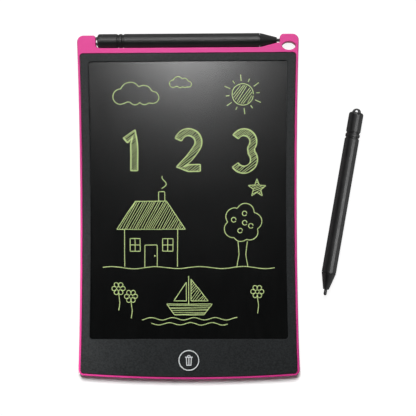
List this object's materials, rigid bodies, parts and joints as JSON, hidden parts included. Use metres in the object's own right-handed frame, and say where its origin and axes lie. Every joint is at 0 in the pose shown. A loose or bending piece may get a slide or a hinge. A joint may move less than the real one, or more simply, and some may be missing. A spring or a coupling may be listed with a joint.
{
  "type": "lcd writing tablet",
  "caption": "Slim writing tablet with a pressure sensitive LCD film in a waisted moulded case, an erase button, a lanyard hole, a stylus docked in the top edge and a spare stylus.",
  "frame": {"origin": "centre of the flat back, on the plane that the tablet lies on", "axes": "+Z out of the screen, +Y along the length towards the docked stylus, +X to the right seen from the front, towards the lanyard hole"},
  "size_m": [0.1828, 0.2213, 0.0093],
  "materials": {
    "pink_shell": "satin moulded ABS",
    "charcoal_panel": "fine spark texture",
    "lcd_film": "semi-gloss writing film",
    "black_board": "matt",
    "board_laminate": "solder mask",
    "bright_ring": "bright plated",
    "steel_bits": "nickel plated",
    "spring_brass": "bright",
    "black_plastic": "satin",
    "stylus_plastic": "satin",
    "grey_plastic": "satin",
    "ceramic_chip": "fired",
    "film_tail": "polyimide film"
  },
  "bodies": {
    "tablet": {"rear_case": "pink_shell", "front_panel": "charcoal_panel", "lcd_film": "lcd_film", "backing_board": "black_board", "film_tail": "film_tail", "tail_socket": "grey_plastic", "circuit_board": "board_laminate", "board_screw_1": "steel_bits", "board_screw_2": "steel_bits", "board_screw_3": "steel_bits", "driver_chip": "black_plastic", "boost_inductor": "black_board", "capacitor_1": "ceramic_chip", "capacitor_2": "ceramic_chip", "capacitor_3": "ceramic_chip", "tact_switch": "steel_bits", "lock_switch_body": "steel_bits", "coin_cell": "steel_bits", "battery_contact_negative": "spring_brass", "battery_contact_positive": "spring_brass"},
    "eraser": {"erase_button": "charcoal_panel", "button_ring": "bright_ring", "switch_plunger": "grey_plastic"},
    "lock": {"lock_slider": "black_plastic"},
    "cell_door": {"battery_door": "pink_shell", "door_screw": "steel_bits"},
    "docked_stylus": {"stylus_nib": "stylus_plastic", "stylus_nose_cone": "stylus_plastic", "stylus_barrel": "stylus_plastic", "stylus_band": "stylus_plastic", "stylus_tail_cap": "stylus_plastic"},
    "spare_stylus": {"loose_stylus_nib": "stylus_plastic", "loose_stylus_nose_cone": "stylus_plastic", "loose_stylus_barrel": "stylus_plastic", "loose_stylus_band": "stylus_plastic", "loose_stylus_tail_cap": "stylus_plastic"}
  },
  "joints": [
    {"name": "erase_press", "type": "slide", "parent": "tablet", "child": "eraser", "axis": [0, 0, -1], "range_m": [0, 0.0004], "stiffness_N_per_m": 500},
    {"name": "lock_slide", "type": "slide", "parent": "tablet", "child": "lock", "axis": [1, 0, 0], "range_m": [0, 0.0025]},
    {"name": "cell_door_hinge", "type": "hinge", "parent": "tablet", "child": "cell_door", "pos_m": [-0.0511, -0.0943, 0.00065], "axis": [0, 1, 0], "range_deg": [0, 40]},
    {"name": "stylus_swing", "type": "hinge", "parent": "tablet", "child": "docked_stylus", "pos_m": [0.05975, 0.1064, 0.0047], "axis": [0, 0, -1], "range_deg": [0, 16]},
    {"name": "spare_stylus_lift", "type": "slide", "parent": "tablet", "child": "spare_stylus", "axis": [0, 0, 1], "range_m": [0, 0.04]}
  ]
}
